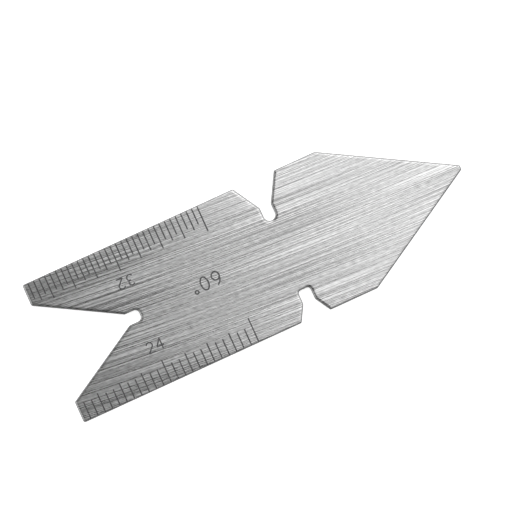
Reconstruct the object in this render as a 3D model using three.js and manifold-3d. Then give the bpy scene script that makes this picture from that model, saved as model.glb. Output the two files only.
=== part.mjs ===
// A 60 degree centre gauge (fishtail gauge), used to set and check screw-cutting tools on a lathe.
// It is one flat plate of brushed stainless steel: a 60 degree point, a fishtail notch in the other
// end, a notch in each long edge, and four engraved inch scales, two on each face.
// Millimetres, +Z up. The plate lies on its back face at z = 0, centred on the origin, with +X towards
// the point and +Y towards the scale of 32nds.
import * as THREE from "three";
import { mergeVertices } from "three/addons/utils/BufferGeometryUtils.js";
import Module from "manifold-3d";

const wasm = await Module();
wasm.setup();

// Driving dimensions of the blank
const THREAD_ANGLE = THREE.MathUtils.degToRad(60); // of the point and of every notch
const SHARP_LENGTH = 60; // from the fishtail end to where the flanks of the point would meet
const TIP_FLAT = 0.6; // the point is blunted to this width
const WIDTH = 20;
const THICKNESS = 1;

// Each notch is a V with a relief slot at its bottom. The slot's end has rounded corners.
const FISHTAIL = { mouth: 14, slot: 1.6, depth: 12.6, endRadius: 0.6 };
const EDGE_NOTCH_32 = { mouth: 6, slot: 1.6, depth: 5.95, endRadius: 0.8 };
const EDGE_NOTCH_24 = { mouth: 4.2, slot: 1.7, depth: 4, endRadius: 0.45 };
const EDGE_NOTCH_PLACE = 33.7; // both edge notches, from the fishtail end
const ROUND_STEPS = 5; // straight steps in each rounded corner of a slot

// Engraving
const INCH = 25.4; // each scale is one inch long and starts at the fishtail end
const ENGRAVED_DEPTH = 0.05;
const MARK_WIDTH = 0.18;
const STROKE = 0.17; // of the figures
const FIGURE_ADVANCE = 0.84; // from one figure to the next, in figure heights
const OVERRUN = 1; // a cutter stands this far out of the plate

// A mark whose number divides by the first step gets the first length, and so on down the list.
const LENGTHS_32 = [[16, 3.75], [4, 3.35], [2, 2.9], [1, 2.4]];
const LENGTHS_24 = [[24, 3.55], [12, 3.25], [3, 2.8], [1, 2.4]];
const LENGTHS_20 = [[10, 3.6], [5, 3.1], [1, 2.4]];
const LENGTHS_14 = [[14, 3.6], [7, 3.1], [1, 2.4]];

// side is +1 for a scale that runs along the far long edge of its face, seen with the point to the
// right, and -1 for the near one.
const FRONT_SCALES = [
  { perInch: 32, side: 1, lengths: LENGTHS_32 },
  { perInch: 24, side: -1, lengths: LENGTHS_24 },
];
const BACK_SCALES = [
  { perInch: 20, side: 1, lengths: LENGTHS_20 },
  { perInch: 14, side: -1, lengths: LENGTHS_14 },
];

// Figures: their height, how far their middle is from the fishtail end and across from the centre
// line, and whether they are upside down when the point is to the right.
const SCALE_FIGURE_HEIGHT = 1.6;
const FIGURE_OFFSET = 4.65;
const FRONT_FIGURES = [
  { text: "32", height: SCALE_FIGURE_HEIGHT, at: INCH / 2, across: FIGURE_OFFSET, flipped: true },
  { text: "24", height: SCALE_FIGURE_HEIGHT, at: INCH / 2, across: -FIGURE_OFFSET, flipped: false },
  { text: "60°", height: 2, at: 22.1, across: 0.1, flipped: true },
];
const BACK_FIGURES = [
  { text: "20", height: SCALE_FIGURE_HEIGHT, at: INCH / 2, across: FIGURE_OFFSET, flipped: true },
  { text: "14", height: SCALE_FIGURE_HEIGHT, at: INCH / 2, across: -FIGURE_OFFSET, flipped: false },
];

// Worked out from the above
const HALF_SLOPE = Math.tan(THREAD_ANGLE / 2); // half a notch's width for each unit of its depth
const LENGTH = SHARP_LENGTH - TIP_FLAT / 2 / HALF_SLOPE;
const SHOULDER = SHARP_LENGTH - WIDTH / 2 / HALF_SLOPE; // where the long edges turn into the point

// A closed three.js geometry as a solid that can be cut.
function solidOf(geometry) {
  const bare = geometry.clone();
  bare.deleteAttribute("normal");
  bare.deleteAttribute("uv");
  const merged = mergeVertices(bare, 1e-4);
  return new wasm.Manifold(
    new wasm.Mesh({
      numProp: 3,
      vertProperties: merged.attributes.position.array,
      triVerts: new Uint32Array(merged.index.array),
    }),
  );
}

// A cut solid back as a three.js geometry.
function geometryOf(solid) {
  const mesh = solid.getMesh();
  const geometry = new THREE.BufferGeometry();
  geometry.setAttribute("position", new THREE.BufferAttribute(mesh.vertProperties, 3));
  geometry.setIndex(new THREE.BufferAttribute(mesh.triVerts, 1));
  geometry.computeVertexNormals();
  return geometry;
}

// The outline of the plate before its notches are cut, with x from the fishtail end.
function blankShape() {
  const shape = new THREE.Shape();
  shape.moveTo(0, -WIDTH / 2);
  shape.lineTo(SHOULDER, -WIDTH / 2);
  shape.lineTo(LENGTH, -TIP_FLAT / 2);
  shape.lineTo(LENGTH, TIP_FLAT / 2);
  shape.lineTo(SHOULDER, WIDTH / 2);
  shape.lineTo(0, WIDTH / 2);
  shape.closePath();
  return shape;
}

// A notch's outline, with its mouth on y = 0 and the plate below it. The flanks run on outside.
function notchShape({ mouth, slot, depth, endRadius }) {
  const slotTop = (mouth - slot) / 2 / HALF_SLOPE;
  const outside = mouth / 2 + OVERRUN * HALF_SLOPE;
  const inner = slot / 2 - endRadius;
  const shape = new THREE.Shape();
  shape.moveTo(-outside, OVERRUN);
  shape.lineTo(-slot / 2, -slotTop);
  shape.lineTo(-slot / 2, endRadius - depth);
  shape.absarc(-inner, endRadius - depth, endRadius, Math.PI, 1.5 * Math.PI);
  shape.absarc(inner, endRadius - depth, endRadius, 1.5 * Math.PI, 2 * Math.PI);
  shape.lineTo(slot / 2, -slotTop);
  shape.lineTo(outside, OVERRUN);
  shape.closePath();
  return shape;
}

// A notch's cutter: its mouth goes to (x, y) and it opens in the direction given in radians.
function notchCutter(notch, x, y, opensTo) {
  const depth = THICKNESS + 2 * OVERRUN;
  const geometry = new THREE.ExtrudeGeometry(notchShape(notch), {
    depth,
    bevelEnabled: false,
    curveSegments: ROUND_STEPS,
  });
  geometry.rotateZ(opensTo - Math.PI / 2);
  geometry.translate(x, y, -OVERRUN);
  return geometry;
}

// How long mark number n of a scale is.
function markLength(n, lengths) {
  return lengths.find(([step]) => n % step === 0)[1];
}

// The cutters of one scale on the front face. The marks run out through the edge of the plate.
function scaleCutters({ perInch, side, lengths }) {
  const cutters = [];
  for (let n = 1; n <= perInch; n += 1) {
    const length = markLength(n, lengths) + OVERRUN;
    const height = ENGRAVED_DEPTH + OVERRUN;
    const mark = new THREE.BoxGeometry(MARK_WIDTH, length, height);
    const middle = side * (WIDTH / 2 + OVERRUN - length / 2);
    mark.translate((n * INCH) / perInch, middle, THICKNESS - ENGRAVED_DEPTH + height / 2);
    cutters.push(mark);
  }
  return cutters;
}

// Points along an arc of an ellipse, for a stroke of a figure. Angles in degrees.
function arc(x, y, radiusX, radiusY, from, to, steps) {
  const points = [];
  for (let i = 0; i <= steps; i += 1) {
    const angle = THREE.MathUtils.degToRad(from + ((to - from) * i) / steps);
    points.push(new THREE.Vector2(x + radiusX * Math.cos(angle), y + radiusY * Math.sin(angle)));
  }
  return points;
}

// A stroke of straight lines through the points given as [x, y].
function lines(...points) {
  return points.map(([x, y]) => new THREE.Vector2(x, y));
}

// The strokes of each figure, in figure heights, about the figure's middle. A closed stroke ends
// where it starts.
const FIGURES = {
  "0": [arc(0, 0, 0.26, 0.45, 0, 360, 14)],
  "1": [lines([-0.14, 0.28], [0.04, 0.45], [0.04, -0.5])],
  "2": [[...arc(0, 0.2, 0.25, 0.25, 165, -35, 7), ...lines([-0.27, -0.45], [0.3, -0.45])]],
  "3": [
    arc(-0.02, 0.22, 0.23, 0.23, 150, -90, 7),
    arc(-0.02, -0.2, 0.26, 0.25, 90, -150, 8),
  ],
  "4": [
    lines([0.32, -0.18], [-0.3, -0.18], [0.14, 0.45]),
    lines([0.14, 0.5], [0.14, -0.5]),
  ],
  "6": [
    arc(0, -0.17, 0.26, 0.28, 0, 360, 12),
    arc(0.14, -0.17, 0.4, 0.62, 180, 100, 5),
  ],
  "°": [arc(-0.14, 0.33, 0.12, 0.12, 0, 360, 8)],
};

// The outline of a stroke: the path widened to both sides, with square ends or a hole inside.
function strokeShape(path, width) {
  const closed = path[0].distanceTo(path.at(-1)) < width / 10;
  const points = closed ? path.slice(0, -1) : path;
  const count = points.length;
  const left = [];
  const right = [];
  points.forEach((point, i) => {
    const before = closed || i > 0 ? points[(i + count - 1) % count] : point;
    const after = closed || i < count - 1 ? points[(i + 1) % count] : point;
    const into = point.clone().sub(before).normalize();
    const out = after.clone().sub(point).normalize();
    const along = into.clone().add(out).normalize();
    const straight = Math.max(into.lengthSq() ? along.dot(into) : along.dot(out), 0.4);
    const across = new THREE.Vector2(-along.y, along.x).multiplyScalar(width / 2 / straight);
    left.push(point.clone().add(across));
    right.push(point.clone().sub(across));
  });
  if (!closed) {
    return new THREE.Shape([...left, ...right.reverse()]);
  }
  const [outer, inner] = THREE.ShapeUtils.area(left) ** 2 > THREE.ShapeUtils.area(right) ** 2
    ? [left, right]
    : [right, left];
  const shape = new THREE.Shape(outer);
  shape.holes.push(new THREE.Path(inner));
  return shape;
}

// The cutters of a few figures on the front face.
function figureCutters({ text, height, at, across, flipped }) {
  const cutters = [];
  const letters = [...text];
  letters.forEach((letter, i) => {
    const along = (i - (letters.length - 1) / 2) * FIGURE_ADVANCE;
    for (const stroke of FIGURES[letter]) {
      const path = stroke.map((p) => new THREE.Vector2(p.x + along, p.y).multiplyScalar(height));
      const geometry = new THREE.ExtrudeGeometry(strokeShape(path, STROKE), {
        depth: ENGRAVED_DEPTH + OVERRUN,
        bevelEnabled: false,
      });
      geometry.rotateZ(flipped ? Math.PI : 0);
      geometry.translate(at, across, THICKNESS - ENGRAVED_DEPTH);
      cutters.push(geometry);
    }
  });
  return cutters;
}

// The cutters of everything engraved on one face, made for the front and turned over for the back.
function faceCutters(scales, figures, isBack) {
  const cutters = [...scales.flatMap(scaleCutters), ...figures.flatMap(figureCutters)];
  if (isBack) {
    for (const cutter of cutters) {
      cutter.translate(0, 0, -THICKNESS / 2);
      cutter.rotateX(Math.PI);
      cutter.translate(0, 0, THICKNESS / 2);
    }
  }
  return cutters;
}

function buildPlate() {
  const blank = new THREE.ExtrudeGeometry(blankShape(), { depth: THICKNESS, bevelEnabled: false });
  const cutters = [
    notchCutter(FISHTAIL, 0, 0, Math.PI),
    notchCutter(EDGE_NOTCH_32, EDGE_NOTCH_PLACE, WIDTH / 2, Math.PI / 2),
    notchCutter(EDGE_NOTCH_24, EDGE_NOTCH_PLACE, -WIDTH / 2, -Math.PI / 2),
    ...faceCutters(FRONT_SCALES, FRONT_FIGURES, false),
    ...faceCutters(BACK_SCALES, BACK_FIGURES, true),
  ];
  let solid = solidOf(blank);
  for (const cutter of cutters) {
    solid = solid.subtract(solidOf(cutter));
  }
  const geometry = geometryOf(solid);
  geometry.translate(-LENGTH / 2, 0, 0);
  const brushedStainless = new THREE.MeshStandardMaterial({
    color: 0xb9bbbd,
    metalness: 1,
    roughness: 0.38,
  });
  const plate = new THREE.Mesh(geometry, brushedStainless);
  plate.name = "gauge_plate";
  return plate;
}

const centreGauge = new THREE.Group();
centreGauge.add(buildPlate());

export default centreGauge;
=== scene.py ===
"""Studio model of a 60 degree centre gauge, the flat steel gauge that sets screw-cutting tools.

The whole tool is one plate of brushed stainless steel, so the script makes one piece: the blank with
its notches and deburred rim, with the inch scales and the figures engraved into both faces. Shapes are
built in millimetres about the plate's own middle and turned to metres at the end.
"""

import logging
import math
from collections.abc import Mapping, Sequence
from dataclasses import dataclass
from enum import Enum
from typing import Any

import bmesh
import bpy
from mathutils import Matrix, Vector


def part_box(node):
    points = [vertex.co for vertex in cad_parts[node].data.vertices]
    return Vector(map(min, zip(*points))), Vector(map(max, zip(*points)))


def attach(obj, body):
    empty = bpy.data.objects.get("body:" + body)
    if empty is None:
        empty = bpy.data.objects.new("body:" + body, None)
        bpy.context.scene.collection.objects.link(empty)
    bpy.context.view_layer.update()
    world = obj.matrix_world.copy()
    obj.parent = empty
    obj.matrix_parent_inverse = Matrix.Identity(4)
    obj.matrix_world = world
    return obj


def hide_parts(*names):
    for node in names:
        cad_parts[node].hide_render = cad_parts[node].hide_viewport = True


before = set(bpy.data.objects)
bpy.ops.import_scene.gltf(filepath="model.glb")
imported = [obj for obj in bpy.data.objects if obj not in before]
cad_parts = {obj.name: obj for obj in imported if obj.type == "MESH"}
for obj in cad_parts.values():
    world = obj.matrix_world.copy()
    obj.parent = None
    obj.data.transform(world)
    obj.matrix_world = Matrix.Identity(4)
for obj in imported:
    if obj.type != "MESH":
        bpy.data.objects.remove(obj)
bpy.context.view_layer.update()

LOG = logging.getLogger("centre_gauge")
MM = 0.001  # metres in a millimetre
INCH = 25.4
LEAST_RADIUS = 0.02  # of a corner that is moved inwards, in millimetres
SAME_PLACE = 1e-4  # points closer than this, in millimetres, are one point
STEP_SLACK = 0.01  # of a step, so that a turn of whole steps isn't given one more
SHARP_ANGLE = math.radians(20)  # edges that bend more are drawn sharp
FLAT_NORMAL = 0.999  # faces that look this straight up or down are drawn flat

Tree = bpy.types.NodeTree
Socket = bpy.types.NodeSocket

# The kinds of node and their settings that come up most.
MATH, VECTOR_MATH = "ShaderNodeMath", "ShaderNodeVectorMath"
COMBINE, SEPARATE = "ShaderNodeCombineXYZ", "ShaderNodeSeparateXYZ"
NOISE, MAP_RANGE = "ShaderNodeTexNoise", "ShaderNodeMapRange"
OPERATIONS = ("ADD", "SUBTRACT", "MULTIPLY", "MULTIPLY_ADD", "SCALE", "LESS_THAN")
ADD, SUBTRACT, MULTIPLY, MULTIPLY_ADD, SCALE, LESS_THAN = ({"operation": o} for o in OPERATIONS)
SMOOTH = {"interpolation_type": "SMOOTHSTEP"}


# ---------------------------------------------------------------- helpers


def add_object(name: str, data: bpy.types.ID) -> bpy.types.Object:
    """Makes an object of a mesh, curve, light or camera, and puts it in the scene."""
    obj = bpy.data.objects.new(name, data)
    bpy.context.scene.collection.objects.link(obj)
    return obj


def applied_mesh(obj: bpy.types.Object) -> bpy.types.Mesh:
    """Gives the mesh of an object with its modifiers applied, as a new plain mesh."""
    depsgraph = bpy.context.evaluated_depsgraph_get()
    return bpy.data.meshes.new_from_object(obj.evaluated_get(depsgraph), depsgraph=depsgraph)


def linear_rgba(hex_colour: str) -> tuple[float, float, float, float]:
    """Turns an sRGB hex colour into the linear values that a shader takes.

    Args:
        hex_colour: six hex digits with a leading hash.

    Returns:
        Linear red, green and blue, and an alpha of one.
    """
    channels = [int(hex_colour[i : i + 2], 16) / 255 for i in (1, 3, 5)]
    red, green, blue = (
        c / 12.92 if c <= 0.04045 else ((c + 0.055) / 1.055) ** 2.4 for c in channels
    )
    return red, green, blue, 1.0


def add_node(
    tree: Tree,
    kind: str,
    settings: Mapping[str, Any] | None = None,
    inputs: Mapping[str | int, Any] | None = None,
) -> bpy.types.Node:
    """Adds a node with its settings and its input values or links.

    Args:
        tree: the tree that the node goes into.
        kind: the node's type, such as MATH.
        settings: values for the node's own properties.
        inputs: for each input, by name or number, a value, or the socket or node that feeds it. A node
            feeds it from its first output.

    Returns:
        The new node.
    """
    node = tree.nodes.new(kind)
    for name, value in (settings or {}).items():
        setattr(node, name, value)
    for key, value in (inputs or {}).items():
        source = value.outputs[0] if isinstance(value, bpy.types.Node) else value
        if isinstance(source, Socket):
            tree.links.new(source, node.inputs[key])
        else:
            node.inputs[key].default_value = source
    return node


def new_material(name: str) -> tuple[bpy.types.Material, Tree]:
    """Makes an empty node material, and gives it with its tree."""
    material = bpy.data.materials.new(name)
    material.use_nodes = True
    material.node_tree.nodes.clear()
    return material, material.node_tree


def add_surface(tree: Tree, surface: Mapping[str, Any]) -> None:
    """Adds a material's shader and its output.

    Args:
        tree: the material's tree.
        surface: the shader's inputs.
    """
    shader = add_node(tree, "ShaderNodeBsdfPrincipled", inputs=surface)
    add_node(tree, "ShaderNodeOutputMaterial", inputs={"Surface": shader})


def mottled(
    tree: Tree, tone: str, contrast: float, texture: Mapping[str, Any]
) -> tuple[Socket, Socket]:
    """Makes a colour that a noise texture lightens and darkens.

    Args:
        tree: the material's tree.
        tone: the middle colour, as sRGB hex.
        contrast: how far the noise moves the colour's level.
        texture: the noise texture's inputs.

    Returns:
        The sockets of the colour and of the noise.
    """
    noise = add_node(tree, NOISE, inputs=texture)
    level = add_node(tree, MATH, MULTIPLY_ADD, {0: noise, 1: contrast, 2: 1 - contrast / 2})
    colour = add_node(tree, VECTOR_MATH, SCALE, {0: Vector(linear_rgba(tone)[:3]), "Scale": level})
    return colour.outputs[0], noise.outputs[0]


def new_geometry_tree(name: str, inputs: Sequence[tuple[str, str]]) -> Tree:
    """Makes a Geometry Nodes tree with named inputs and one geometry in and out.

    Args:
        name: the tree's name.
        inputs: a name and a socket type for each input after the geometry.

    Returns:
        The tree, still empty of nodes.
    """
    tree = bpy.data.node_groups.new(name, "GeometryNodeTree")
    tree.interface.new_socket("Geometry", in_out="INPUT", socket_type="NodeSocketGeometry")
    for label, kind in inputs:
        tree.interface.new_socket(label, in_out="INPUT", socket_type=kind)
    tree.interface.new_socket("Geometry", in_out="OUTPUT", socket_type="NodeSocketGeometry")
    return tree


def end_geometry_tree(tree: Tree, shape: Socket, material: bpy.types.Material) -> None:
    """Ends a Geometry Nodes tree: makes instances real and sets the material.

    Args:
        tree: the tree.
        shape: the socket of the shape so far.
        material: the shape's material.
    """
    solid = add_node(tree, "GeometryNodeRealizeInstances", inputs={"Geometry": shape})
    dressed = add_node(
        tree, "GeometryNodeSetMaterial", inputs={"Geometry": solid, "Material": material}
    )
    add_node(tree, "NodeGroupOutput", inputs={0: dressed})


def run_geometry_tree(obj: bpy.types.Object, tree: Tree, values: Mapping[str, Any]) -> bpy.types.Mesh:
    """Runs a Geometry Nodes tree on an object and keeps the result as a plain mesh.

    Args:
        obj: the object that the tree works on. It is removed.
        tree: the tree to run.
        values: a value for each named input.

    Returns:
        The mesh that the tree made.
    """
    modifier = obj.modifiers.new(tree.name, "NODES")
    modifier.node_group = tree
    for item in tree.interface.items_tree:
        if item.item_type == "SOCKET" and item.in_out == "INPUT" and item.name in values:
            modifier[item.identifier] = values[item.name]
    mesh = applied_mesh(obj)
    obj.modifiers.remove(modifier)
    bpy.data.objects.remove(obj)
    return mesh


# ---------------------------------------------------------------- finishes


@dataclass(frozen=True)
class Streaks:
    """One layer of belt scratches: their width and length in millimetres, and their contrast."""

    width: float
    length: float
    contrast: float


@dataclass(frozen=True)
class BrushedStainless:
    """Brushed stainless steel, as rolled sheet run under an abrasive belt.

    The belt leaves long fine scratches along the plate, so light spreads across them: the face looks
    satin. Its hairlines are real bumps and roughness, and their lighter and darker colour is painted
    sheen that stands in for the light they catch. The grain isn't quite straight, since the
    plate was fed in by hand: it swings a few degrees between the fishtail and the point.
    """

    tone: str = "#c3c3c3"
    roughness: float = 0.3
    roughness_swing: float = 0.04  # between the darkest and the lightest lines, either way
    line_swing: float = 0.4  # how light or dark a line is at the ends of that swing
    anisotropy: float = 0.93
    # A line of a grit 150 belt is 0.05 to 0.1 mm wide. The long ones are drawn wider, so that they show.
    layers: tuple[Streaks, ...] = (
        Streaks(0.125, 24.0, 1.45),
        Streaks(0.1, 0.8, 0.6),
    )
    # Bounds of the painted sheen on the hairlines, as shares of the tone.
    darkest: float = 0.55
    lightest: float = 1.7
    # Stray scratches run at a small angle to the grain. Each layer has its angle, in degrees, and offset.
    scratches: tuple[tuple[float, float], ...] = ((-7.0, 11.0), (-3.5, 29.0), (0.0, 47.0))
    scratch_width: float = 0.13
    scratch_length: float = 8.0
    # Share of the tone that a painted glint adds along a stray scratch.
    scratch_painted_glint: float = 0.22
    scratch_levels: tuple[float, float] = (0.62, 0.74)  # of the noise, where one starts and is full
    grain_slope: float = -0.066  # at the middle of the plate, as rise over run
    grain_bend: float = 0.00163  # change of that slope for each millimetre towards the point
    line_depth: float = 0.008
    layer_shift: float = 31.0  # gives each layer different lines
    face_shift: float = 7.3  # gives the two faces different lines

    def build(self) -> bpy.types.Material:
        """Builds the material."""
        material, tree = new_material("brushed_stainless_steel")
        place = self._millimetres(tree)
        axes = self._grain_axes(tree, place)
        lines: Socket | float = 0.0
        for number, layer in enumerate(self.layers):
            lines = self._with_streaks(tree, axes, layer, self.layer_shift * number, lines)
        stray = self._stray_scratches(tree, place)
        # The colour carries painted sheen on the hairlines and a painted glint on the stray scratches.
        colour = self._painted_sheen(tree, lines, stray)
        rough = add_node(
            tree,
            MAP_RANGE,
            inputs={
                "Value": lines,
                "From Min": -self.line_swing,
                "From Max": self.line_swing,
                "To Min": self.roughness - self.roughness_swing,
                "To Max": self.roughness + self.roughness_swing,
            },
        )
        bump = add_node(
            tree,
            "ShaderNodeBump",
            inputs={"Strength": 1.0, "Distance": self.line_depth * MM, "Height": lines},
        )
        surface = {
            "Base Color": colour,
            "Metallic": 1.0,
            "Roughness": rough,
            "Anisotropic": self.anisotropy,
            "Normal": bump,
            "Tangent": self._across_the_grain(tree, place),
        }
        add_surface(tree, surface)
        return material

    def _millimetres(self, tree: Tree) -> Socket:
        """Gives the place on the plate in millimetres."""
        source = add_node(tree, "ShaderNodeTexCoord")
        scaled = add_node(tree, VECTOR_MATH, SCALE, {0: source.outputs["Object"], "Scale": 1 / MM})
        return scaled.outputs["Vector"]

    def _grain_axes(self, tree: Tree, place: Socket) -> tuple[Socket, Socket, Socket]:
        """Gives the distances along and across the grain, which bends as a parabola.

        Args:
            tree: the material's tree.
            place: the place in millimetres.

        Returns:
            The sockets of the distance along, the distance across and the height, in millimetres.
        """
        parts = add_node(tree, SEPARATE, inputs={0: place})
        x, y = parts.outputs["X"], parts.outputs["Y"]
        bend = add_node(tree, MATH, MULTIPLY_ADD, {0: x, 1: self.grain_bend / 2, 2: self.grain_slope})
        rise = add_node(tree, MATH, MULTIPLY, {0: x, 1: bend})
        across = add_node(tree, MATH, SUBTRACT, {0: y, 1: rise})
        return x, across.outputs[0], parts.outputs["Z"]

    def _across_the_grain(self, tree: Tree, place: Socket) -> Socket:
        """Gives the direction in which the scratches spread the light."""
        parts = add_node(tree, SEPARATE, inputs={0: place})
        slope = add_node(
            tree, MATH, MULTIPLY_ADD, {0: parts.outputs["X"], 1: -self.grain_bend, 2: -self.grain_slope}
        )
        direction = add_node(tree, COMBINE, inputs={"X": slope, "Y": 1.0, "Z": 0.0})
        turned = add_node(
            tree,
            "ShaderNodeVectorTransform",
            {"vector_type": "VECTOR", "convert_from": "OBJECT", "convert_to": "WORLD"},
            {0: direction},
        )
        return turned.outputs[0]

    def _with_streaks(
        self,
        tree: Tree,
        axes: tuple[Socket, Socket, Socket],
        layer: Streaks,
        offset: float,
        below: Socket | float,
    ) -> Socket:
        """Adds a layer of noise drawn out along the grain.

        Args:
            tree: the material's tree.
            axes: distance along the grain, distance across it and height.
            layer: the layer's sizes and contrast.
            offset: how far into the noise the layer starts, so that no two layers match.
            below: the layers so far.

        Returns:
            The socket of the layers with this one, about zero.
        """
        along, across, height = axes
        shift = add_node(tree, MATH, MULTIPLY_ADD, {0: height, 1: self.face_shift, 2: offset})
        scaled = {
            axis: add_node(
                tree, MATH, MULTIPLY_ADD, {0: distance, 1: 1 / cell, 2: shift}
            ).outputs[0]
            for axis, distance, cell in (("X", along, layer.length), ("Y", across, layer.width))
        }
        place = add_node(tree, COMBINE, inputs=scaled)
        noise = add_node(
            tree, NOISE, {"noise_dimensions": "2D"}, {"Vector": place, "Scale": 1.0, "Detail": 0.0}
        )
        centred = add_node(tree, MATH, SUBTRACT, {0: noise, 1: 0.5})
        added = add_node(tree, MATH, MULTIPLY_ADD, {0: centred, 1: layer.contrast, 2: below})
        return added.outputs[0]

    def _stray_scratches(self, tree: Tree, place: Socket) -> Socket:
        """Finds a few stray scratches that cross the grain at a small angle, for a painted glint to
        lighten.
        """
        found: Socket | float = 0.0
        start, full = self.scratch_levels
        for angle, offset in self.scratches:
            turned = add_node(
                tree,
                "ShaderNodeMapping",
                inputs={
                    "Vector": place,
                    "Location": (offset, offset, 0.0),
                    "Rotation": (0.0, 0.0, math.radians(-angle)),
                },
            )
            stretched = add_node(
                tree,
                VECTOR_MATH,
                MULTIPLY,
                {0: turned, 1: (1 / self.scratch_length, 1 / self.scratch_width, 1.0)},
            )
            noise = add_node(tree, NOISE, inputs={"Vector": stretched, "Scale": 1.0, "Detail": 1.0})
            lit = add_node(
                tree, MAP_RANGE, SMOOTH, {"Value": noise, "From Min": start, "From Max": full}
            )
            found = add_node(tree, MATH, ADD, {0: lit, 1: found}).outputs[0]
        return found

    def _painted_sheen(self, tree: Tree, lines: Socket, stray: Socket) -> Socket:
        """Paints sheen into the steel's colour: lighter and darker along its hairlines, and a glint on
        its stray scratches.
        """
        base = Vector(linear_rgba(self.tone)[:3])
        level = add_node(tree, MATH, {"operation": "EXPONENT"}, {0: lines})
        lifted = add_node(tree, MATH, MULTIPLY_ADD, {0: stray, 1: self.scratch_painted_glint, 2: level})
        held = add_node(
            tree,
            "ShaderNodeClamp",
            inputs={"Value": lifted, "Min": self.darkest, "Max": self.lightest},
        )
        colour = add_node(tree, VECTOR_MATH, SCALE, {0: base, "Scale": held})
        return colour.outputs[0]


@dataclass(frozen=True)
class DressedEdgeWithPaintedShade:
    """The cut sides of the plate and the steep part of its broken edges, dressed with a fine stone.

    Shorter, finer marks than on the faces, so the edges shine more evenly. Its tone is darker than the
    faces': partly the dressed finish and partly painted shade, which draws a dark outline round the
    plate.
    """

    # Darker than the faces: partly the dressed finish, partly painted shade that outlines the plate.
    tone: str = "#949494"
    roughness: float = 0.34
    mark_pitch: float = 0.12  # across the thickness, from the stone
    mark_length: float = 2.5
    mark_depth: float = 0.003
    tone_contrast: float = 0.5

    def build(self) -> bpy.types.Material:
        """Builds the material."""
        material, tree = new_material("dressed_edge_with_painted_shade")
        source = add_node(tree, "ShaderNodeTexCoord")
        along, across = 1 / (self.mark_length * MM), 1 / (self.mark_pitch * MM)
        stretched = add_node(
            tree, VECTOR_MATH, MULTIPLY, {0: source.outputs["Object"], 1: (along, along, across)}
        )
        texture = {"Vector": stretched, "Scale": 1.0, "Detail": 3.0, "Roughness": 0.6}
        colour, noise = mottled(tree, self.tone, self.tone_contrast, texture)
        bump = add_node(
            tree,
            "ShaderNodeBump",
            inputs={"Strength": 1.0, "Distance": self.mark_depth * MM, "Height": noise},
        )
        surface = {
            "Base Color": colour,
            "Metallic": 1.0,
            "Roughness": self.roughness,
            "Normal": bump,
        }
        add_surface(tree, surface)
        return material


@dataclass(frozen=True)
class EtchedOxide:
    """The floor of an electro-etched mark: steel turned to a dull dark grey oxide."""

    tone: str = "#5a5a5b"
    metallic: float = 0.2
    roughness: float = 0.65
    patch_size: float = 0.5
    tone_contrast: float = 0.9

    def build(self) -> bpy.types.Material:
        """Builds the material."""
        material, tree = new_material("etched_steel_oxide")
        source = add_node(tree, "ShaderNodeTexCoord")
        patches = 1 / (self.patch_size * MM)
        texture = {"Vector": source.outputs["Object"], "Scale": patches, "Detail": 3.0}
        colour, _ = mottled(tree, self.tone, self.tone_contrast, texture)
        surface = {"Base Color": colour, "Metallic": self.metallic, "Roughness": self.roughness}
        add_surface(tree, surface)
        return material


@dataclass(frozen=True)
class PaleFloor:
    """The opal acrylic top of a light table: matt white, and lit from below to keep shadows pale."""

    tone: str = "#f4f4f4"
    roughness: float = 0.9
    glow: float = 0.8

    def build(self) -> bpy.types.Material:
        """Builds the material."""
        material, tree = new_material("opal_acrylic")
        colour = linear_rgba(self.tone)
        surface = {
            "Base Color": colour,
            "Roughness": self.roughness,
            "Emission Color": colour,
            "Emission Strength": self.glow,
        }
        add_surface(tree, surface)
        return material


# ---------------------------------------------------------------- the outline


@dataclass(frozen=True)
class Corner:
    """A corner of an outline, in millimetres, with the radius that rounds it."""

    x: float
    y: float
    radius: float


@dataclass(frozen=True)
class Notch:
    """A V notch with a relief slot at its bottom, in millimetres."""

    mouth: float
    slot: float
    depth: float
    end_radius: float
    mouth_radius: float = 0.25
    throat_radius: float = 0.4

    def corners(self, half_slope: float, at: tuple[float, float], turn: float) -> list[Corner]:
        """Gives the notch's corners in the order of an outline that has the plate on its left.

        Args:
            half_slope: half the V's width for each unit of its depth.
            at: the middle of the mouth.
            turn: the notch's turn in degrees, where none has it open towards +Y.

        Returns:
            Six corners, from one end of the mouth to the other.
        """
        slot_top = (self.mouth - self.slot) / 2 / half_slope
        right = [
            Corner(self.mouth / 2, 0.0, self.mouth_radius),
            Corner(self.slot / 2, -slot_top, self.throat_radius),
            Corner(self.slot / 2, -self.depth, self.end_radius),
        ]
        left = [Corner(-c.x, c.y, c.radius) for c in reversed(right)]
        cosine, sine = math.cos(math.radians(turn)), math.sin(math.radians(turn))
        return [
            Corner(at[0] + c.x * cosine - c.y * sine, at[1] + c.x * sine + c.y * cosine, c.radius)
            for c in right + left
        ]


def inset(corners: Sequence[Corner], distance: float) -> list[Corner]:
    """Moves a closed outline inwards by the same distance everywhere.

    Args:
        corners: the corners in order, with the inside on the left.
        distance: how far each side moves in.

    Returns:
        The moved corners. One that points outwards gets a smaller radius, the others a larger one.
    """
    moved = []
    for i, corner in enumerate(corners):
        here = Vector((corner.x, corner.y))
        before, after = corners[i - 1], corners[(i + 1) % len(corners)]
        into = (here - Vector((before.x, before.y))).normalized()
        out = (Vector((after.x, after.y)) - here).normalized()
        first, second = Vector((-into.y, into.x)), Vector((-out.y, out.x))
        place = here + (first + second) * distance / (1 + first.dot(second))
        outwards = into.cross(out) > 0
        radius = max(corner.radius - distance, LEAST_RADIUS) if outwards else corner.radius + distance
        moved.append(Corner(place.x, place.y, radius))
    return moved


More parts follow.
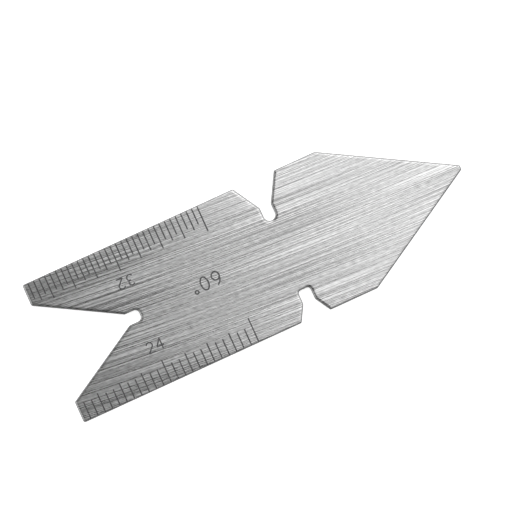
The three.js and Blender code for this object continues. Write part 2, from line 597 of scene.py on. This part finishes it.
def rounded(corners: Sequence[Corner], step: float) -> list[Vector]:
    """Rounds the corners of a closed outline.

    Args:
        corners: the corners in order, with the inside on the left.
        step: the largest turn between two points of a rounding, in radians.

    Returns:
        The outline's points, with none twice.
    """
    points: list[Vector] = []
    for i, corner in enumerate(corners):
        here = Vector((corner.x, corner.y))
        before = Vector((corners[i - 1].x, corners[i - 1].y))
        after = corners[(i + 1) % len(corners)]
        back = (before - here).normalized()
        on = (Vector((after.x, after.y)) - here).normalized()
        opening = back.angle(on)
        centre = here + (back + on).normalized() * corner.radius / math.sin(opening / 2)
        start = here + back * corner.radius / math.tan(opening / 2) - centre
        turn = math.copysign(math.pi - opening, -back.cross(on))
        steps = max(1, math.ceil(abs(turn) / step - STEP_SLACK))
        for k in range(steps + 1):
            point = centre + Matrix.Rotation(turn * k / steps, 2) @ start
            if not points or (point - points[-1]).length > SAME_PLACE:
                points.append(point)
    if (points[0] - points[-1]).length < SAME_PLACE:
        points.pop()
    return points


# ---------------------------------------------------------------- engraving


class Face(Enum):
    """A face of the plate."""

    FRONT = "front"
    BACK = "back"


class LongEdge(Enum):
    """A long edge of a face, seen with the point to the right."""

    FAR = 1
    NEAR = -1


@dataclass(frozen=True)
class Groove:
    """The section of an engraved line, in millimetres: a trench with sloping walls."""

    width: float
    depth: float = 0.05
    floor_share: float = 0.7  # width of the floor as a share of the width at the face
    overrun: float = 0.1  # the cutter stands this far out of the face

    @property
    def cutter_height(self) -> float:
        """Height of the cutter's section."""
        return self.depth + self.overrun

    @property
    def floor(self) -> float:
        """Width of the cutter at its lower end."""
        return self.width * self.floor_share

    @property
    def top(self) -> float:
        """Width of the cutter at its upper end, where its walls run on above the face."""
        return self.floor + (self.width - self.floor) * self.cutter_height / self.depth


@dataclass(frozen=True)
class Graduation:
    """A scale of an inch along one long edge of a face.

    Each entry of lengths is a step and a length in millimetres: the first step that divides a mark's
    number gives the mark's length.
    """

    per_inch: int
    face: Face
    edge: LongEdge
    lengths: tuple[tuple[int, float], ...]
    groove: Groove = Groove(width=0.18)
    overrun: float = 0.5  # the marks run out through the edge

    LEVELS = 4

    @property
    def label(self) -> str:
        """Name of the scale."""
        return f"scale_of_{self.per_inch}ths"

    @classmethod
    def tree(cls, etched: bpy.types.Material) -> Tree:
        """Builds the tree that makes the cutters of a scale's marks.

        Args:
            etched: the material of the cut faces.

        Returns:
            A tree that starts from nothing and gives one closed cutter for each mark.
        """
        number, whole = "NodeSocketFloat", "NodeSocketInt"
        named = [("Marks", whole), ("Pitch", number), ("First X", number), ("Middle Z", number)]
        named += [("Edge Y", number), ("Side", number), ("Overrun", number)]
        named += [("Top Width", number), ("Floor Width", number), ("Height", number)]
        for level in range(cls.LEVELS):
            named += [(f"Step {level}", whole), (f"Length {level}", number)]
        tree = new_geometry_tree("inch_scale_cutters", named)
        given = add_node(tree, "NodeGroupInput").outputs
        start = add_node(tree, COMBINE, inputs={"X": given["First X"], "Z": given["Middle Z"]})
        pitch = add_node(tree, COMBINE, inputs={"X": given["Pitch"]})
        row = add_node(
            tree,
            "GeometryNodeMeshLine",
            {"mode": "OFFSET"},
            {"Count": given["Marks"], "Start Location": start, "Offset": pitch},
        )
        length = add_node(
            tree, MATH, ADD, {0: cls._length_socket(tree, given), 1: given["Overrun"]}
        ).outputs[0]
        outer = add_node(tree, MATH, ADD, {0: given["Edge Y"], 1: given["Overrun"]})
        middle = add_node(tree, MATH, MULTIPLY_ADD, {0: length, 1: -0.5, 2: outer})
        sided = add_node(tree, MATH, MULTIPLY, {0: middle, 1: given["Side"]})
        place = add_node(tree, COMBINE, inputs={"Y": sided})
        placed = add_node(tree, "GeometryNodeSetPosition", inputs={"Geometry": row, "Offset": place})
        size = add_node(tree, COMBINE, inputs={"X": 1.0, "Y": length, "Z": 1.0})
        copies = add_node(
            tree,
            "GeometryNodeInstanceOnPoints",
            inputs={
                "Points": placed,
                "Instance": cls._mark_socket(tree, given),
                "Scale": size,
            },
        )
        end_geometry_tree(tree, copies.outputs["Instances"], etched)
        return tree

    @classmethod
    def _length_socket(cls, tree: Tree, given: bpy.types.NodeOutputs) -> Socket:
        """Picks each mark's length by what its number divides by.

        Args:
            tree: the tree.
            given: the tree's inputs.

        Returns:
            The socket of the length.
        """
        index = add_node(tree, "GeometryNodeInputIndex")
        mark = add_node(tree, MATH, ADD, {0: index, 1: 1.0}).outputs[0]
        length = given[f"Length {cls.LEVELS - 1}"]
        for level in reversed(range(cls.LEVELS - 1)):
            rest = add_node(
                tree, MATH, {"operation": "FLOORED_MODULO"}, {0: mark, 1: given[f"Step {level}"]}
            )
            whole = add_node(tree, MATH, LESS_THAN, {0: rest, 1: 0.5})
            length = add_node(
                tree,
                "GeometryNodeSwitch",
                {"input_type": "FLOAT"},
                {"Switch": whole, "False": length, "True": given[f"Length {level}"]},
            ).outputs[0]
        return length

    @classmethod
    def _mark_socket(cls, tree: Tree, given: bpy.types.NodeOutputs) -> Socket:
        """Makes one mark's cutter, a unit long: a bar that is narrower at its lower end.

        Args:
            tree: the tree.
            given: the tree's inputs.

        Returns:
            The socket of the bar, about its own middle.
        """
        size = add_node(tree, COMBINE, inputs={"X": given["Top Width"], "Y": 1.0, "Z": given["Height"]})
        bar = add_node(tree, "GeometryNodeMeshCube", inputs={"Size": size})
        position = add_node(tree, "GeometryNodeInputPosition")
        parts = add_node(tree, SEPARATE, inputs={0: position})
        low = add_node(tree, MATH, LESS_THAN, {0: parts.outputs["Z"], 1: 0.0})
        share = add_node(
            tree, MATH, {"operation": "DIVIDE"}, {0: given["Floor Width"], 1: given["Top Width"]}
        )
        narrowed = add_node(tree, MATH, MULTIPLY, {0: parts.outputs["X"], 1: share})
        place = add_node(
            tree, COMBINE, inputs={"X": narrowed, "Y": parts.outputs["Y"], "Z": parts.outputs["Z"]}
        )
        tapered = add_node(
            tree,
            "GeometryNodeSetPosition",
            inputs={
                "Geometry": bar,
                "Selection": low,
                "Position": place,
            },
        )
        return tapered.outputs["Geometry"]

    def cutters(self, tree: Tree, plate: "GaugePlate") -> bpy.types.Mesh:
        """Makes the cutters of this scale, placed on the plate's front face.

        Args:
            tree: the tree that tree() built.
            plate: the plate that carries the scale.

        Returns:
            The cutters as one mesh.
        """
        pitch = INCH / self.per_inch
        values: dict[str, Any] = {
            "Marks": self.per_inch,
            "Pitch": pitch,
            "First X": pitch - plate.length / 2,
            "Middle Z": plate.thickness - self.groove.depth + self.groove.cutter_height / 2,
            "Edge Y": plate.width / 2,
            "Side": float(self.edge.value),
            "Overrun": self.overrun,
            "Top Width": self.groove.top,
            "Floor Width": self.groove.floor,
            "Height": self.groove.cutter_height,
        }
        for level, (step, length) in enumerate(self.lengths):
            values[f"Step {level}"] = step
            values[f"Length {level}"] = length
        holder = add_object(self.label, bpy.data.meshes.new(self.label))
        return run_geometry_tree(holder, tree, values)


def arc(
    x: float, y: float, radius_x: float, radius_y: float, start: float, end: float, steps: int
) -> list[tuple[float, float]]:
    """Gives points along an arc of an ellipse.

    Args:
        x: the middle, across.
        y: the middle, up.
        radius_x: the half width.
        radius_y: the half height.
        start: the first point's angle in degrees.
        end: the last point's angle in degrees.
        steps: the number of steps between them.

    Returns:
        The points, one more than the steps.
    """
    angles = (math.radians(start + (end - start) * i / steps) for i in range(steps + 1))
    return [(x + radius_x * math.cos(a), y + radius_y * math.sin(a)) for a in angles]


# The strokes of each figure, in figure heights, about the figure's middle. A stroke that ends where it
# starts is closed.
FIGURE_STROKES: dict[str, list[list[tuple[float, float]]]] = {
    "0": [arc(0, 0, 0.26, 0.45, 0, 360, 36)],
    "1": [[(-0.14, 0.28), (0.04, 0.45)], [(0.04, 0.5), (0.04, -0.5)]],
    "2": [arc(0, 0.2, 0.25, 0.25, 165, -35, 18) + [(-0.27, -0.45)], [(-0.27, -0.45), (0.3, -0.45)]],
    "3": [
        arc(-0.02, 0.22, 0.23, 0.23, 150, -90, 18),
        arc(-0.02, -0.2, 0.26, 0.25, 90, -150, 20),
    ],
    "4": [[(0.32, -0.18), (-0.3, -0.18)], [(-0.3, -0.18), (0.14, 0.45)], [(0.14, 0.5), (0.14, -0.5)]],
    "6": [arc(0, -0.17, 0.26, 0.28, 0, 360, 28), arc(0.14, -0.17, 0.4, 0.62, 180, 100, 12)],
    "°": [arc(-0.14, 0.33, 0.12, 0.12, 0, 360, 16)],
}


@dataclass(frozen=True)
class Figures:
    """A few engraved figures, in millimetres."""

    text: str
    face: Face
    height: float
    at: float  # their middle, from the fishtail end
    across: float  # their middle, from the centre line
    flipped: bool  # upside down when the point is to the right
    groove: Groove = Groove(width=0.13)
    advance: float = 0.84  # from one figure to the next, in figure heights

    @property
    def label(self) -> str:
        """Name of the figures."""
        return f"figures_{self.text.rstrip('°')}"

    @staticmethod
    def tree(etched: bpy.types.Material) -> Tree:
        """Builds the tree that sweeps a groove's section along the strokes of a curve.

        Args:
            etched: the material of the cut faces.

        Returns:
            A tree that gives one closed cutter for each stroke.
        """
        number = "NodeSocketFloat"
        named = [("Top Width", number), ("Floor Width", number), ("Height", number)]
        tree = new_geometry_tree("figure_stroke_cutters", named)
        given = add_node(tree, "NodeGroupInput").outputs
        upright = add_node(
            tree, "GeometryNodeSetCurveNormal", {"mode": "Z_UP"}, {"Curve": given["Geometry"]}
        )
        section = add_node(
            tree,
            "GeometryNodeCurvePrimitiveQuadrilateral",
            {"mode": "TRAPEZOID"},
            {
                "Bottom Width": given["Floor Width"],
                "Top Width": given["Top Width"],
                "Height": given["Height"],
                "Offset": 0.0,
            },
        )
        swept = add_node(
            tree,
            "GeometryNodeCurveToMesh",
            inputs={
                "Curve": upright,
                "Profile Curve": section,
                "Fill Caps": True,
            },
        )
        end_geometry_tree(tree, swept.outputs["Mesh"], etched)
        return tree

    def cutters(self, tree: Tree, plate: "GaugePlate") -> bpy.types.Mesh:
        """Makes the cutters of these figures, placed on the plate's front face.

        Args:
            tree: the tree that tree() built.
            plate: the plate that carries the figures.

        Returns:
            The cutters as one mesh.
        """
        curve = bpy.data.curves.new(self.label, "CURVE")
        curve.dimensions = "3D"
        turn = -1.0 if self.flipped else 1.0
        middle = plate.thickness - self.groove.depth + self.groove.cutter_height / 2
        for i, figure in enumerate(self.text):
            start = (i - (len(self.text) - 1) / 2) * self.advance
            for stroke in FIGURE_STROKES[figure]:
                closed = math.dist(stroke[0], stroke[-1]) < SAME_PLACE
                points = stroke[:-1] if closed else stroke
                spline = curve.splines.new("POLY")
                spline.points.add(len(points) - 1)
                spline.use_cyclic_u = closed
                for point, (x, y) in zip(spline.points, points):
                    point.co = (
                        self.at - plate.length / 2 + turn * (x + start) * self.height,
                        self.across + turn * y * self.height,
                        middle,
                        1.0,
                    )
        holder = add_object(curve.name, curve)
        sizes = {
            "Top Width": self.groove.top,
            "Floor Width": self.groove.floor,
            "Height": self.groove.cutter_height,
        }
        return run_geometry_tree(holder, tree, sizes)


# ---------------------------------------------------------------- the plate


@dataclass
class GaugePlate:
    """The gauge itself: a flat plate with a 60 degree point, a fishtail and two edge notches.

    Sizes are in millimetres, in the frame of the CAD model: the plate lies on its back face, with +X
    towards the point and +Y towards the scale of 32nds.
    """

    length: float
    width: float
    thickness: float
    thread_angle: float = 60.0
    tip_flat: float = 0.6
    fishtail: Notch = Notch(mouth=14.0, slot=1.6, depth=12.6, end_radius=0.6)
    far_notch: Notch = Notch(mouth=6.0, slot=1.6, depth=5.95, end_radius=0.8)
    near_notch: Notch = Notch(mouth=4.2, slot=1.7, depth=4.0, end_radius=0.45)
    notch_place: float = 33.7  # both edge notches, from the fishtail end
    end_radius: float = 0.3  # corners of the prongs
    shoulder_radius: float = 0.5
    tip_radius: float = 0.2
    rim_width: float = 0.4  # the tumbled edge falls away over this much of both faces
    rim_drop: float = 0.14
    rim_steps: int = 7
    # The steps past these take the darker edge finish, whose tone is partly painted shade.
    brushed_steps: int = 3  # of these, the ones next to the face that the belt reached
    corner_step: float = math.radians(7.5)

    BRUSHED, EDGE = 0, 1

    @property
    def half_slope(self) -> float:
        """Half the width of the point for each unit of its length."""
        return math.tan(math.radians(self.thread_angle) / 2)

    def corners(self) -> list[Corner]:
        """Gives the corners of the plate's outline, with the plate on its left."""
        start, end = -self.length / 2, self.length / 2
        half = self.width / 2
        shoulder = end - (half - self.tip_flat / 2) / self.half_slope
        notch_x = start + self.notch_place
        slope = self.half_slope
        return [
            Corner(start, -half, self.end_radius),
            *self.near_notch.corners(slope, (notch_x, -half), 180.0),
            Corner(shoulder, -half, self.shoulder_radius),
            Corner(end, -self.tip_flat / 2, self.tip_radius),
            Corner(end, self.tip_flat / 2, self.tip_radius),
            Corner(shoulder, half, self.shoulder_radius),
            *self.far_notch.corners(slope, (notch_x, half), 0.0),
            Corner(start, half, self.end_radius),
            *self.fishtail.corners(slope, (start, 0.0), 90.0),
        ]

    def rim_profile(self) -> list[tuple[float, float]]:
        """Gives the section of the plate's side, from the back face to the front face.

        Returns:
            How far in and how high each ring of points lies.
        """
        angles = [math.pi / 2 * k / self.rim_steps for k in range(self.rim_steps + 1)]
        lower = [
            (self.rim_width * (1 - math.sin(a)), self.rim_drop * (1 - math.cos(a))) for a in angles
        ]
        return lower + [(inwards, self.thickness - z) for inwards, z in reversed(lower)]

    def blank(self) -> bpy.types.Mesh:
        """Makes the plate before it is engraved, in millimetres."""
        corners = self.corners()
        body = bmesh.new()
        rings = [
            [body.verts.new((p.x, p.y, z)) for p in rounded(inset(corners, inwards), self.corner_step)]
            for inwards, z in self.rim_profile()
        ]
        bands = len(rings) - 1
        for number, (low, high) in enumerate(zip(rings, rings[1:])):
            from_face = min(number, bands - 1 - number)
            # Steep steps and the sides take the edge finish, darkened partly by painted shade.
            finish = self.BRUSHED if from_face < self.brushed_steps else self.EDGE
            for i in range(len(low)):
                j = (i + 1) % len(low)
                body.faces.new((low[i], low[j], high[j], high[i])).material_index = finish
        body.faces.new(rings[-1]).material_index = self.BRUSHED
        body.faces.new(reversed(rings[0])).material_index = self.BRUSHED
        mesh = bpy.data.meshes.new("gauge_blank")
        body.to_mesh(mesh)
        body.free()
        return mesh

    def turned_over(self) -> Matrix:
        """Gives the move that takes an engraving from the front face to the back face."""
        lift = Matrix.Translation((0.0, 0.0, self.thickness / 2))
        return lift @ Matrix.Rotation(math.pi, 4, "X") @ lift.inverted()

    def engraved(
        self,
        blank: bpy.types.Mesh,
        engravings: Sequence[Graduation | Figures],
        etched: bpy.types.Material,
    ) -> bpy.types.Mesh:
        """Cuts the scales and figures into the blank.

        Args:
            blank: the plate's mesh.
            engravings: what is engraved.
            etched: the material of the cut faces.

        Returns:
            The cut mesh.
        """
        trees = {Graduation: Graduation.tree(etched), Figures: Figures.tree(etched)}
        tools = []
        for engraving in engravings:
            mesh = engraving.cutters(trees[type(engraving)], self)
            if engraving.face is Face.BACK:
                mesh.transform(self.turned_over())
            tools.append(add_object(f"cutter_{engraving.label}", mesh))
            LOG.info("%s: %d faces", tools[-1].name, len(mesh.polygons))
        plate = add_object("gauge_plate_blank", blank)
        for tool, engraving in zip(tools, engravings):
            cut = plate.modifiers.new(tool.name, "BOOLEAN")
            cut.operation = "DIFFERENCE"
            cut.solver = "EXACT"
            cut.object = tool
            cut.use_self = isinstance(engraving, Figures)
            cut.material_mode = "TRANSFER"
        mesh = applied_mesh(plate)
        for used in (*tools, plate):
            bpy.data.objects.remove(used)
        return mesh

    def build(
        self,
        engravings: Sequence[Graduation | Figures],
        brushed: BrushedStainless,
        edge: DressedEdgeWithPaintedShade,
        oxide: EtchedOxide,
    ) -> bpy.types.Object:
        """Makes the finished piece in metres.

        Args:
            engravings: what is engraved.
            brushed: the finish of both faces, as far as the belt reached, with painted sheen in its
                colour.
            edge: the finish of the sides and of the steep part of the broken edges, darker as painted
                shade.
            oxide: the finish of the engraved marks.

        Returns:
            The object.
        """
        etched = oxide.build()
        blank = self.blank()
        for material in (brushed.build(), edge.build()):
            blank.materials.append(material)
        mesh = self.engraved(blank, engravings, etched)
        mesh.name = "centre_gauge_plate"
        mesh.transform(Matrix.Scale(MM, 4))
        mesh.shade_smooth()
        mesh.set_sharp_from_angle(angle=SHARP_ANGLE)
        for polygon in mesh.polygons:
            if abs(polygon.normal.z) > FLAT_NORMAL:
                polygon.use_smooth = False
        return add_object("centre_gauge_plate", mesh)


# ---------------------------------------------------------------- the studio


@dataclass(frozen=True)
class Softbox:
    """A square soft light, in metres, that looks at the gauge."""

    name: str
    place: tuple[float, float, float]
    side: float
    power: float

    def build(self) -> bpy.types.Object:
        """Builds the light."""
        light = bpy.data.lights.new(self.name, "AREA")
        light.size = self.side
        light.energy = self.power
        lamp = add_object(self.name, light)
        lamp.location = self.place
        lamp.rotation_euler = Vector(self.place).to_track_quat("Z", "Y").to_euler()
        return lamp


@dataclass(frozen=True)
class Studio:
    """A white table in a light tent with a black flag across its roof, and the camera above it."""

    floor_side: float = 6.0
    floor_gap: float = 0.00002  # keeps the floor clear of the plate's back face
    backdrop: str = "#ffffff"
    tent_level: float = 1.5
    tent_foot: float = 0.6  # how bright the wall is near the table, all round, as a share of its level
    tent_foot_heights: tuple[float, float] = (0.35, 0.65)  # where the foot ends and the wall starts
    least_height: float = 0.05  # keeps the place across the roof finite near the horizon
    tent_lean: tuple[float, float, float] = (0.35, 2.0, 0.0)  # which way it brightens, and how fast
    tent_range: tuple[float, float] = (0.12, 1.05)  # darkest and brightest wall, as shares of its level
    # The share of the roof's light that a black flag leaves, at places across it, per unit of height.
    flag: tuple[tuple[float, float], ...] = ((-0.62, 1.0), (-0.38, 0.1), (-0.01, 0.1), (0.035, 1.0))
    lens: float = 150.0
    clip_start: float = 0.01
    distance: float = 0.28824
    azimuth: float = -110.0
    elevation: float = 85.0
    picture_turn: float = 24.65  # how far the plate's length is turned from level in the picture
    aim: tuple[float, float] = (0.00038, -0.0003)  # what the camera looks at, from the plate's middle

    def build(self, table: PaleFloor, softboxes: Sequence[Softbox], top: float) -> None:
        """Builds the floor, the light and the camera.

        Args:
            table: the floor's finish.
            softboxes: the lights.
            top: height of the face that the camera looks at.
        """
        self._floor(table)
        self._tent()
        for softbox in softboxes:
            softbox.build()
        self._camera(top)

    def _floor(self, table: PaleFloor) -> None:
        """Lays the floor just under the gauge."""
        half = self.floor_side / 2
        mesh = bpy.data.meshes.new("studio_floor")
        corners = [(-half, -half), (half, -half), (half, half), (-half, half)]
        mesh.from_pydata([(x, y, -self.floor_gap) for x, y in corners], [], [(0, 1, 2, 3)])
        mesh.materials.append(table.build())
        floor = add_object("studio_floor", mesh)

    def _tent(self) -> None:
        """Makes the light tent: a wall that is darker on the near side, a flag, and an even foot."""
        world = bpy.data.worlds.new("light_tent")
        world.use_nodes = True
        tree = world.node_tree
        tree.nodes.clear()
        direction = add_node(tree, "ShaderNodeTexCoord").outputs["Generated"]
        lean = add_node(
            tree, VECTOR_MATH, {"operation": "DOT_PRODUCT"}, {0: direction, 1: self.tent_lean}
        )
        parts = add_node(tree, SEPARATE, inputs={0: direction})
        height = add_node(
            tree, MATH, {"operation": "MAXIMUM"}, {0: parts.outputs["Z"], 1: self.least_height}
        )
        sideways = add_node(tree, MATH, {"operation": "DIVIDE"}, {0: parts.outputs["X"], 1: height})
        across = add_node(
            tree, MAP_RANGE, inputs={"Value": sideways, "From Min": -1.0, "From Max": 1.0}
        )
        flag = add_node(tree, "ShaderNodeValToRGB", inputs={"Fac": across})
        ramp = flag.color_ramp
        ramp.interpolation = "EASE"
        ramp.elements.remove(ramp.elements[0])
        for place, light in self.flag:
            ramp.elements.new((place + 1) / 2).color = (light, light, light, 1.0)
        leaned = add_node(tree, MATH, ADD, {0: lean.outputs["Value"], 1: 1.0})
        darkest, brightest = self.tent_range
        held = add_node(
            tree, "ShaderNodeClamp", inputs={"Value": leaned, "Min": darkest, "Max": brightest}
        )
        share = add_node(tree, MATH, MULTIPLY, {0: held, 1: flag})
        low, high = self.tent_foot_heights
        above = add_node(
            tree, MAP_RANGE, SMOOTH, {"Value": parts.outputs["Z"], "From Min": low, "From Max": high}
        )
        footed = add_node(
            tree, "ShaderNodeMix", {"data_type": "FLOAT"}, {0: above, 2: self.tent_foot, 3: share}
        )
        wall = add_node(
            tree, "ShaderNodeBackground", inputs={"Color": footed, "Strength": self.tent_level}
        )
        backdrop = add_node(tree, "ShaderNodeBackground", inputs={"Color": linear_rgba(self.backdrop)})
        ray = add_node(tree, "ShaderNodeLightPath")
        seen = add_node(
            tree,
            "ShaderNodeMixShader",
            inputs={0: ray.outputs["Is Camera Ray"], 1: wall, 2: backdrop},
        )
        add_node(tree, "ShaderNodeOutputWorld", inputs={"Surface": seen})
        bpy.context.scene.world = world

    def _camera(self, top: float) -> None:
        """Sets the camera above the gauge.

        Args:
            top: height of the face that it looks at.
        """
        data = bpy.data.cameras.new("camera")
        data.lens = self.lens
        data.clip_start = self.clip_start
        camera = add_object("camera", data)
        azimuth, elevation = math.radians(self.azimuth), math.radians(self.elevation)
        back = Vector(
            (
                math.cos(elevation) * math.cos(azimuth),
                math.cos(elevation) * math.sin(azimuth),
                math.sin(elevation),
            )
        )
        turn = math.radians(self.picture_turn)
        up = Vector((math.sin(turn), math.cos(turn), 0.0))
        right = up.cross(back).normalized()
        up = back.cross(right)
        axes = Matrix((right, up, back)).transposed().to_4x4()
        target = Vector((*self.aim, top))
        camera.matrix_world = Matrix.Translation(target + back * self.distance) @ axes
        bpy.context.scene.camera = camera
        bpy.context.scene.view_settings.view_transform = "Standard"


ENGRAVINGS: tuple[Graduation | Figures, ...] = (
    Graduation(32, Face.FRONT, LongEdge.FAR, ((16, 3.75), (4, 3.35), (2, 2.9), (1, 2.4))),
    Graduation(24, Face.FRONT, LongEdge.NEAR, ((24, 3.55), (12, 3.25), (3, 2.8), (1, 2.4))),
    Graduation(20, Face.BACK, LongEdge.FAR, ((10, 3.6), (5, 3.1), (1, 2.4), (1, 2.4))),
    Graduation(14, Face.BACK, LongEdge.NEAR, ((14, 3.6), (7, 3.1), (1, 2.4), (1, 2.4))),
    Figures("32", Face.FRONT, height=1.6, at=INCH / 2, across=4.65, flipped=True),
    Figures("24", Face.FRONT, height=1.6, at=INCH / 2, across=-4.65, flipped=False),
    Figures("60°", Face.FRONT, height=2.0, at=22.1, across=0.1, flipped=True, groove=Groove(0.15)),
    Figures("20", Face.BACK, height=1.6, at=INCH / 2, across=4.65, flipped=True),
    Figures("14", Face.BACK, height=1.6, at=INCH / 2, across=-4.65, flipped=False),
)

SOFTBOXES = (Softbox("softbox_far_side", (0.2, 0.75, 0.85), 0.5, 0.7),)


def main() -> None:
    """Builds the gauge and its studio, and reports the pieces."""
    logging.basicConfig(level=logging.INFO, format="%(name)s: %(message)s")
    low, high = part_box("gauge_plate")
    size = (high - low) / MM
    plate = GaugePlate(length=size.x, width=size.y, thickness=size.z)
    piece = plate.build(ENGRAVINGS, BrushedStainless(), DressedEdgeWithPaintedShade(), EtchedOxide())
    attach(piece, "root")
    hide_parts("gauge_plate")
    LOG.info("%s: %d faces", piece.name, len(piece.data.polygons))
    Studio().build(PaleFloor(), SOFTBOXES, high.z)


if __name__ == "__main__":
    main()
